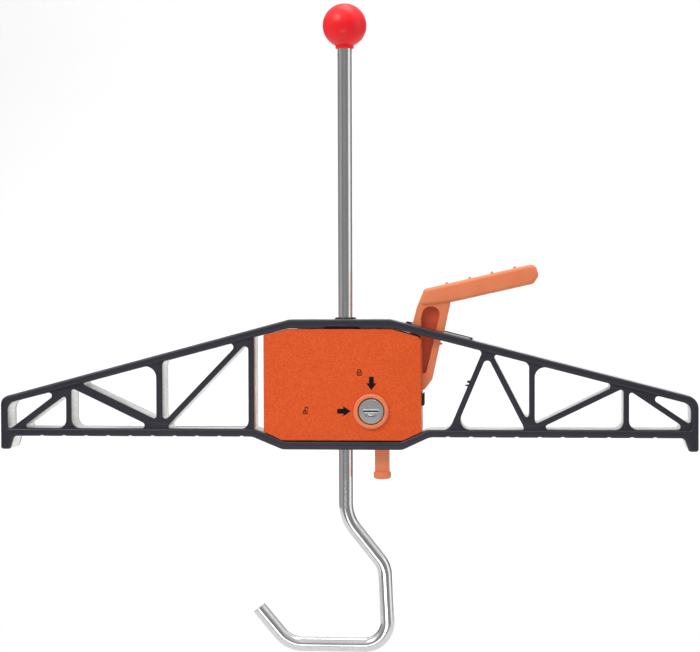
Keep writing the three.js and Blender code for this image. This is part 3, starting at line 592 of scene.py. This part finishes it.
def build_lock():
    """The raised ring, the turning plug with its keyway, and the lips and rim of the plug in a brighter metal
    that is partly polish and partly painted highlight.
    """
    place = (LOCK_X, 0, LOCK_Z)
    ring = lathe_mesh([(LOCK_HOLE_R, 13.4), (RING_R, 13.4), (RING_R, 14.3), (12.3, 14.75), (11.9, 15.0),
                       (11.3, 15.1), (10.5, 15.1), (10.0, 15.0), (9.7, 14.75), (LOCK_HOLE_R, 14.3),
                       (LOCK_HOLE_R, 13.4)], 96, "-Y", place)
    made = finish_mesh("lock_collar", ring, ORANGE, "beam", 60)
    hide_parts("lock_ring")
    head = lathe_mesh([(0, 13.2), (PLUG_R, 13.2), (PLUG_R, 14.55), (8.65, 14.8), (8.45, 14.9), (8.05, 14.9),
                       (7.9, 14.8), (7.85, 14.6), (7.7, 14.5), (0, 14.5)], 96, "-Y", place)
    keyway = at_lock(box_mesh(-5.2, 5.2, -16, -9, -0.4, 0.9, 0.3, 2))
    moon = slab_mesh([(-4.2, -0.2, 0.3), (-3.7, -2.2, 1.6), (-1.6, -3.9, 1.5), (1.6, -3.9, 1.5),
                      (3.7, -2.2, 1.6), (4.2, -0.2, 0.3)], [], -16, -9.5)
    finish_mesh("plug_face", carved(head, [keyway, at_lock(moon)]), LOCK_METAL, "plug", 35)
    # Painted highlight in part: the rim and the keyway's lips lie over the plug in the brighter copy of its
    # nickel.
    rim = lathe_mesh([(RIM_R, 14.4), (PLUG_R, 14.4), (PLUG_R, 14.75), (8.6, 14.95), (8.2, 14.95),
                      (RIM_R, 14.75), (RIM_R, 14.4)], 96, "-Y", place)
    bright = joined([rim, *[at_lock(box_mesh(*lip, 5)) for lip in LIPS]])
    finish_mesh("plug_polished_highlight_edges", bright, LOCK_POLISH_HIGHLIGHT, "plug", 35)


# ---------------------------------------------------------------- markings

PADLOCKS = [
    # name, X and Z of the foot's middle, whether its shackle is lifted
    ("padlock_shut", 10.9, 44.0, False),
    ("padlock_open", -28.0, 16.4, True),
]
ARROWS = {
    "arrow_locked": [
        (17.8, 43.2), (21.2, 43.2), (21.2, 38.6), (23.1, 38.6), (19.5, 33.6), (15.9, 38.6), (17.8, 38.6),
    ],
    "arrow_unlocked": [
        (-5.0, 20.3), (-5.0, 16.9), (-0.6, 16.9), (-0.6, 15.0), (4.6, 18.6), (-0.6, 22.2), (-0.6, 20.3),
    ],
}
INK_DEPTH = (-BLOCK_FACE - 0.05, -BLOCK_FACE + 0.1)


def padlock(x, z, lifted):
    """A padlock pictogram: a hollow body with a dot in it, and a shackle that is shut or lifted open."""
    rise, shift, open_end = (0.7, 0.9, 0.9) if lifted else (0, 0, 0)
    body = [(x - 1.7, z, 0.3), (x + 1.7, z, 0.3), (x + 1.7, z + 2.6, 0.3), (x - 1.7, z + 2.6, 0.3)]
    hollow = [(x - 1.1, z + 0.6), (x + 1.1, z + 0.6), (x + 1.1, z + 2.0), (x - 1.1, z + 2.0)]
    dot = [(x - 0.35, z + 0.9), (x + 0.35, z + 0.9), (x + 0.35, z + 1.7), (x - 0.35, z + 1.7)]
    foot = z + 2.6
    left, right = x - 1.3 + shift, x + 1.3 + shift
    shackle = [
        (left, foot), (left, foot + 2.1 + rise, 1.2), (right, foot + 2.1 + rise, 1.2),
        (right, foot + open_end), (right - 0.65, foot + open_end),
        (right - 0.65, foot + 1.5 + rise, 0.6), (left + 0.65, foot + 1.5 + rise, 0.6), (left + 0.65, foot),
    ]
    return joined([
        slab_mesh(body, [hollow], *INK_DEPTH), slab_mesh(shackle, [], *INK_DEPTH),
        slab_mesh(dot, [], *INK_DEPTH),
    ])


def build_markings():
    """The arrows and padlocks that are printed on the plate. Its two words are left out."""
    for name, outline in ARROWS.items():
        finish_mesh(name, slab_mesh(outline, [], *INK_DEPTH), INK, "beam")
    for name, x, z, lifted in PADLOCKS:
        finish_mesh(name, padlock(x, z, lifted), INK, "beam")


# ---------------------------------------------------------------- the rod and its knob

ROD_TOP = 281.6
FOOT_Z = -151.1            # middle of the hook's flat foot
ROD_TURNS = [(0, -59, 30), (27.8, -94.1, 20), (30.5, FOOT_Z, 16.6), (-41.6, FOOT_Z, 21.7)]
ROD_TIP = (-63.6, -124.8)
TIP_CHAMFER = 0.5
BALL_R = 15.8
BALL_Z = 294.5
NECK_R = 6.6


def rod_path():
    """Centre points of the rod from its top to its tip, in X and Z."""
    corners = [(0, ROD_TOP), *ROD_TURNS, ROD_TIP]
    points = [Vector(corners[0])]
    for i, (x, z, radius) in enumerate(ROD_TURNS, start=1):
        before = Vector(corners[i - 1][:2])
        after = Vector(corners[i + 1][:2])
        points += arc(before, Vector((x, z)), after, radius, 14, 6)
    points.append(Vector(ROD_TIP))
    return points


def build_rod(sides=48):
    """A round bar along the rod's path, with a chamfered tip."""
    *path, last = rod_path()
    inward = (path[-1] - last).normalized()
    stations = [(at, ROD_R) for at in path]
    stations += [(last + inward * TIP_CHAMFER, ROD_R), (last, ROD_R - TIP_CHAMFER)]
    work = bmesh.new()
    rings = []
    for i, (at, radius) in enumerate(stations):
        before = stations[max(i - 1, 0)][0]
        after = stations[min(i + 1, len(stations) - 1)][0]
        along = (after - before).normalized()
        side = Vector((-along.y, along.x))
        ring = []
        for k in range(sides):
            angle = 2 * math.pi * k / sides
            offset = side * (radius * math.cos(angle))
            ring.append(work.verts.new((
                (at.x + offset.x) * MM, radius * math.sin(angle) * MM, (at.y + offset.y) * MM,
            )))
        rings.append(ring)
    for low, high in zip(rings, rings[1:]):
        for k in range(sides):
            after = (k + 1) % sides
            work.faces.new((low[k], low[after], high[after], high[k]))
    work.faces.new(rings[0])
    work.faces.new(list(reversed(rings[-1])))
    bmesh.ops.recalc_face_normals(work, faces=work.faces)
    mesh = bpy.data.meshes.new("rod")
    work.to_mesh(mesh)
    work.free()
    made = finish_mesh("bent_rod", mesh, CHROME, "hook_rod", 40)
    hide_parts("rod")


def build_knob():
    """A ball on a short neck, bored for the rod."""
    neck = math.asin(NECK_R / BALL_R)
    bore = ROD_R + 0.05
    steps = 40
    profile = [(bore, -16.6), (NECK_R - 0.5, -16.6), (NECK_R - 0.15, -16.4), (NECK_R, -16.0), (NECK_R, -15.0)]
    for k in range(steps):
        angle = neck + (math.pi - neck) * k / steps
        profile.append((BALL_R * math.sin(angle), -BALL_R * math.cos(angle)))
    profile += [(0, BALL_R), (0, -12.0), (bore, -12.0), (bore, -16.6)]
    made = finish_mesh("red_ball", lathe_mesh(profile, 96, "Z", (0, 0, BALL_Z)), RED, "knob", 50)
    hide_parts("ball_knob")


def build_upper_bush():
    """The flanged black bush that guides the rod at the top of the beam."""
    bore, sleeve, flange = 5.5, 6.9, 7.6
    upper = lathe_mesh([(bore, 79), (sleeve, 79), (sleeve, 84.3), (flange, 84.3), (flange, 84.9), (7.4, 85.2),
                        (7.0, 85.4), (6.0, 85.4), (5.6, 85.2), (bore, 84.9), (bore, 79)], 64)
    made = finish_mesh("upper_bush", upper, BLACK, "beam", 50)
    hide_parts("upper_rod_bush")


# ---------------------------------------------------------------- the squeeze lever

GRIP = [
    (53.0, 93.2, 3.05), (78.1, 96.4), (134.6, 109.0, 3.4), (138.3, 114.4, 3.1),
    (136.2, 123.6, 4.6), (56.7, 105.6, 3.05),
]
ARM = [
    (36.5, 33, 6), (56.5, 32.8, 5), (62.2, 40.3, 3), (68.5, 68.9, 2), (71.1, 75.6, 2), (76, 98, 1),
    (55.5, 102, 1), (51.6, 92.5, 1), (48.7, 81.5, 2),
]
NOSE = [(9.6, 42.2, 1.8), (14, 39, 3), (40, 35, 2), (44, 46.4, 2), (9.6, 46.6, 1.5)]
POCKET = [
    (55.6, 44.6, 1), (58.4, 46.2, 1.5), (64.4, 70.7, 2), (69.6, 93.6, 5.8), (56.6, 93.2, 5.8),
    (54.4, 84, 3),
]
NIB = [(66.8, 65.6, 0.3), (69.4, 65.5, 0.5), (69.8, 66.8, 0.5), (67.4, 67.6, 0.3)]
RIB_X = [72.9, 89.3, 105.2, 121.3]
RIB_HALF = GRIP_HALF - 3.6
GRIP_CORNER = (57.2, 105.7)   # where the grip's top edge starts
GRIP_SLOPE = 0.2316           # rise of that edge per millimetre
POCKET_DEPTH = 4.2
SHADE_SHEET_THICK = 0.3               # of the sheets of painted shade on the pocket's floor


def grip_rib(x):
    """One of the small ribs along the top of the grip."""
    z = GRIP_CORNER[1] + GRIP_SLOPE * (x - GRIP_CORNER[0])
    outline = [(x - 1.7, z - 1.4), (x + 1.5, z - 0.9), (x + 0.55, z + 1.25, 0.4), (x - 0.55, z + 1.1, 0.4)]
    return slab_mesh(outline, [], -RIB_HALF, RIB_HALF, 0.25, 2)


def build_lever():
    """The lever in one piece: a pocketed arm, a soft grip with ribs, and a nose inside the block. Thin darker
    sheets on the pocket floors are painted shade.
    """
    floor = LEVER_HALF - POCKET_DEPTH
    arm = carved(slab_mesh(ARM, [], -LEVER_HALF, LEVER_HALF, 0.9, 4), [
        slab_mesh(POCKET, [], -LEVER_HALF - 2, -floor, 0.6, 3),
        slab_mesh(POCKET, [], floor, LEVER_HALF + 2, 0.6, 3),
        bar_mesh(3.1, -20, 20, *PIVOT),
    ])
    grip = soft_slab(GRIP, -GRIP_HALF, GRIP_HALF, 3.0)
    nose = slab_mesh(NOSE, [], -LEVER_HALF + 0.5, LEVER_HALF - 0.5, 0.5, 2)
    nib = slab_mesh(NIB, [], -1, 1, 0.3, 2)
    parts = [arm, grip, nose, nib, *[grip_rib(x) for x in RIB_X]]
    made = finish_mesh("squeeze_lever", joined(parts), ORANGE, "lever", 50)
    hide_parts("trigger_lever")
    # Painted shade: a darker sheet on each pocket floor stands in for the shade in the recess.
    for name, side in (("lever_pocket_shade_front", -1), ("lever_pocket_shade_back", 1)):
        low, high = sorted((side * (floor - SHADE_SHEET_THICK), side * (floor + 0.05)))
        finish_mesh(name, slab_mesh(POCKET, [], low, high), POCKET_SHADE, "lever")


# ---------------------------------------------------------------- the slot frame

FRAME_HALF_LONG = 24.4
FRAME_HALF_WIDE = 10.2
FRAME_OPENING = (-20.6, 22.6)
FRAME_HEIGHT = (0.3, 1.2)
FRONT_HEIGHT = (0.3, 0.55)


def build_slot_frame():
    """Black frame round the lever's slot, lower along its front edge."""
    left, right = FRAME_OPENING
    mesh = joined([
        box_mesh(-FRAME_HALF_LONG, FRAME_HALF_LONG, SLOT_HALF, FRAME_HALF_WIDE, *FRAME_HEIGHT, 0.2, 2),
        box_mesh(-FRAME_HALF_LONG, left, -SLOT_HALF, SLOT_HALF, *FRAME_HEIGHT, 0.2, 2),
        box_mesh(right, FRAME_HALF_LONG, -SLOT_HALF, SLOT_HALF, *FRAME_HEIGHT, 0.2, 2),
        box_mesh(-FRAME_HALF_LONG, FRAME_HALF_LONG, -FRAME_HALF_WIDE, -SLOT_HALF, *FRONT_HEIGHT, 0.1, 2),
    ])
    middle = sum(SLOT) / 2
    shoulder_z = TOP_Z - SLOPE * (middle - SHOULDER_X)
    lift = Matrix.Translation(Vector((middle, 0, shoulder_z)) * MM)
    mesh.transform(lift @ Matrix.Rotation(math.atan(SLOPE), 4, "Y"))
    made = finish_mesh("slot_frame", mesh, BLACK, "beam", 40)
    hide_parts("slot_bezel")


# ---------------------------------------------------------------- the release tab

def build_release():
    """The tab's flat stem, the ears that keep it in, the nub that lifts the brake and a round button."""
    stem = box_mesh(TAB_X - 5.15, TAB_X + 5.15, -4, 4, -26.4, -0.6, 0.9, 4)
    ears = box_mesh(TAB_X - 7.6, TAB_X + 7.6, -4, 4, -5.9, -3.6, 0.3, 2)
    nub = box_mesh(TAB_X - 2, TAB_X + 2, -2.5, 2.5, -2, -0.05, 0.2, 2)
    button = lathe_mesh([(0, -25.6), (5.5, -25.6), (6.0, -25.75), (6.3, -26.3), (6.3, -29.3), (6.1, -30.0),
                         (5.5, -30.6), (4.0, -31.05), (2.0, -31.2), (0, -31.2)], 64, "Z", (TAB_X, 0, 0))
    made = finish_mesh("release_button", joined([stem, ears, nub, button]), ORANGE, "release", 45)
    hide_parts("release_tab")


# ---------------------------------------------------------------- nodes kept as they are

SOFT_ANGLE = math.radians(38)


def dress(name, material, bevel):
    """Gives a CAD node a material and, where its bevel isn't 0, softened edges."""
    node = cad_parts[name]
    node.data.materials.clear()
    node.data.materials.append(material)
    if bevel:
        step = node.modifiers.new("soften", "BEVEL")
        step.width = bevel * MM
        step.segments = 2
        step.limit_method = "ANGLE"
        step.angle_limit = SOFT_ANGLE
        step.harden_normals = False
        smooth = node.modifiers.new("smooth", "WEIGHTED_NORMAL")
        smooth.keep_sharp = True
    for face in node.data.polygons:
        face.use_smooth = True
    node.data.set_sharp_from_angle(angle=SOFT_ANGLE)


def build_rest():
    """The nodes that the CAD already draws well enough, with a material and a bevel in millimetres."""
    plain = {
        "housing": (ORANGE, 0.35),
        "lower_rod_bush": (BLACK, 0.0),
        "lever_pivot_pin": (GROUND, 0.0),
        "drive_plate": (GROUND, 0.15),
        "brake_plate": (GROUND, 0.15),
        "lock_barrel": (LOCK_DARK, 0.0),
        "lock_plug": (LOCK_METAL, 0.1),
        # Painted highlight in part: the shutter gets the brighter copy of the lock's nickel.
        "keyway_shutter": (LOCK_POLISH_HIGHLIGHT, 0.08),
        "lock_nut": (ZINC, 0.2),
        "lock_cam": (ZINC, 0.15),
        "cam_clip": (ZINC, 0.0),
        "drive_spring": (WIRE, 0.0),
        "brake_spring": (WIRE, 0.0),
    }
    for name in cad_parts:
        if "screw" in name:
            dress(name, ZINC, 0.12)
        elif name in plain:
            dress(name, *plain[name])


build_beam()
build_block()
build_trim()
build_lock()
build_markings()
build_rod()
build_knob()
build_upper_bush()
build_lever()
build_slot_frame()
build_release()
build_rest()


# ---------------------------------------------------------------- the stage

# From here on, places are in metres.
FLOOR_Z = -0.36      # clears the hook when the rod is pushed all the way down
FLOOR_FRONT = -0.45
WALL_Y = 2.8         # behind the cameras that look at the back
WALL_TOP = 1.5
WALL_HALF = 1.4
CURVE_R = 1.0
CURVE_STEPS = 16


def build_stage():
    """A pale floor that curves up into a pale wall, far behind the lock."""
    made, _, _, shader = new_material("studio_white")
    shader.inputs["Base Color"].default_value = (0.74, 0.74, 0.74, 1)
    shader.inputs["Roughness"].default_value = 0.95
    shader.inputs["Specular IOR Level"].default_value = 0.1
    work = bmesh.new()
    foot = WALL_Y - CURVE_R
    section = [(FLOOR_FRONT, FLOOR_Z), (foot, FLOOR_Z)]
    for k in range(1, CURVE_STEPS + 1):
        angle = math.pi / 2 * k / CURVE_STEPS
        section.append((foot + CURVE_R * math.sin(angle), FLOOR_Z + CURVE_R * (1 - math.cos(angle))))
    section.append((WALL_Y, WALL_TOP))
    rows = [(work.verts.new((-WALL_HALF, y, z)), work.verts.new((WALL_HALF, y, z))) for y, z in section]
    for low, high in zip(rows, rows[1:]):
        work.faces.new((low[0], low[1], high[1], high[0]))
    mesh = bpy.data.meshes.new("sweep")
    work.to_mesh(mesh)
    work.free()
    mesh.shade_smooth()
    sweep = bpy.data.objects.new("studio_sweep", mesh)
    bpy.context.scene.collection.objects.link(sweep)
    mesh.materials.append(made)


def area_light(name, place, aim, width, height, power):
    """A white rectangular lamp at one place, turned towards another."""
    lamp = bpy.data.lights.new(name, "AREA")
    lamp.shape = "RECTANGLE"
    lamp.size = width
    lamp.size_y = height
    lamp.energy = power
    made = bpy.data.objects.new(name, lamp)
    bpy.context.scene.collection.objects.link(made)
    made.location = place
    made.rotation_euler = (Vector(aim) - Vector(place)).to_track_quat("-Z", "Y").to_euler()


SKY = [
    # Z of the direction from -1 to 1, brightness
    (-1.0, 0.8), (-0.5, 0.7), (-0.36, 0.46), (-0.2, 0.44), (-0.04, 0.44), (0.24, 0.42), (0.6, 1.0),
    (1.0, 1.1),
]
ROUND = [
    # turn from straight in front of the lock towards its right, in degrees, brightness
    (-180, 0.5), (-152, 0.42), (-120, 0.62), (-92, 0.95), (-70, 1.1), (-50, 0.85), (-35, 0.5), (-18, 0.75),
    (0, 0.75), (14, 0.62), (30, 0.66), (50, 0.68), (66, 0.95), (90, 1.4), (116, 0.75), (150, 0.45),
    (180, 0.5),
]


def curve_of(nodes, links, value, points, low, high):
    """A grey ramp through (value, brightness) points."""
    scale = nodes.new("ShaderNodeMapRange")
    scale.inputs["From Min"].default_value = low
    scale.inputs["From Max"].default_value = high
    links.new(value, scale.inputs["Value"])
    ramp = nodes.new("ShaderNodeValToRGB")
    ramp.color_ramp.interpolation = "EASE"
    while len(ramp.color_ramp.elements) < len(points):
        ramp.color_ramp.elements.new(0.5)
    for element, (at, grey) in zip(ramp.color_ramp.elements, points):
        element.position = (at - low) / (high - low)
        element.color = (grey, grey, grey, 1)
    links.new(scale.outputs["Result"], ramp.inputs["Fac"])
    return ramp.outputs["Color"]


def maths(nodes, links, operation, first, second):
    """The result of a sum. Each side is a number or a socket."""
    node = nodes.new("ShaderNodeMath")
    node.operation = operation
    for socket, value in zip(node.inputs, (first, second)):
        if isinstance(value, (int, float)):
            socket.default_value = value
        else:
            links.new(value, socket)
    return node.outputs["Value"]


def build_world():
    """A studio of pale panels and darker gaps, for the metal to reflect. What the camera sees is white."""
    world = bpy.data.worlds.new("studio")
    world.use_nodes = True
    nodes, links = world.node_tree.nodes, world.node_tree.links
    place = nodes.new("ShaderNodeTexCoord")
    parts = nodes.new("ShaderNodeSeparateXYZ")
    links.new(place.outputs["Generated"], parts.inputs["Vector"])
    forward = maths(nodes, links, "MULTIPLY", parts.outputs["Y"], -1)
    turn = maths(nodes, links, "ARCTAN2", parts.outputs["X"], forward)
    turned = curve_of(nodes, links, turn, [(math.radians(a), g) for a, g in ROUND], -math.pi, math.pi)
    height = curve_of(nodes, links, parts.outputs["Z"], SKY, -1, 1)
    both = nodes.new("ShaderNodeMix")
    both.data_type = "RGBA"
    both.blend_type = "MULTIPLY"
    both.inputs["Factor"].default_value = 1
    links.new(turned, both.inputs["A"])
    links.new(height, both.inputs["B"])
    ground = nodes["Background"]
    ground.inputs["Strength"].default_value = 1.0
    links.new(both.outputs["Result"], ground.inputs["Color"])
    white = nodes.new("ShaderNodeBackground")
    white.inputs["Color"].default_value = (1, 1, 1, 1)
    seen = nodes.new("ShaderNodeLightPath")
    mix = nodes.new("ShaderNodeMixShader")
    links.new(seen.outputs["Is Camera Ray"], mix.inputs["Fac"])
    links.new(ground.outputs["Background"], mix.inputs[1])
    links.new(white.outputs["Background"], mix.inputs[2])
    links.new(mix.outputs["Shader"], nodes["World Output"].inputs["Surface"])
    bpy.context.scene.world = world


def build_lights():
    """Key from the upper left, fill from the right, top, a low lamp in front, and two for the wall."""
    bpy.context.scene.view_settings.view_transform = "Standard"
    area_light("key", (-1.1, -1.3, 1.6), (0, 0, 0.05), 0.8, 0.8, 22)
    area_light("fill", (2.3, -0.5, 0.3), (0, 0, 0.05), 1.4, 1.8, 6)
    area_light("low", (-0.05, -0.8, -0.27), (0, 0, 0.12), 0.5, 0.16, 0.9)
    area_light("top", (0.2, 0.2, 1.7), (0, 0, 0.05), 1.4, 0.8, 12)
    area_light("wall_wash", (0, 1.35, 1.9), (0, 2.8, 0.4), 3.6, 0.6, 34)
    area_light("wall_wash_low", (0, 1.3, -0.2), (0, 2.8, 0.2), 3.6, 0.2, 8)


LENS = 95.45
CAMERA_AT = (0.1163, -1.3305, 0.1105)
YAW = math.radians(4.857)
PITCH = math.radians(1.348)
ROLL = math.radians(-0.182)


def build_camera():
    """The camera fitted to the photograph, a little right of the rod and turned left."""
    lens = bpy.data.cameras.new("camera")
    lens.sensor_width = 36
    lens.lens = LENS
    lens.clip_start = 0.05
    lens.clip_end = 50
    camera = bpy.data.objects.new("camera", lens)
    bpy.context.scene.collection.objects.link(camera)
    ahead = Vector((-math.sin(YAW) * math.cos(PITCH), math.cos(YAW) * math.cos(PITCH), -math.sin(PITCH)))
    level = ahead.cross(Vector((0, 0, 1))).normalized()
    upward = level.cross(ahead)
    right = level * math.cos(ROLL) + upward * math.sin(ROLL)
    top = upward * math.cos(ROLL) - level * math.sin(ROLL)
    turn = Matrix((right, top, -ahead)).transposed()
    camera.matrix_world = Matrix.Translation(CAMERA_AT) @ turn.to_4x4()
    bpy.context.scene.camera = camera


build_stage()
build_world()
build_lights()
build_camera()
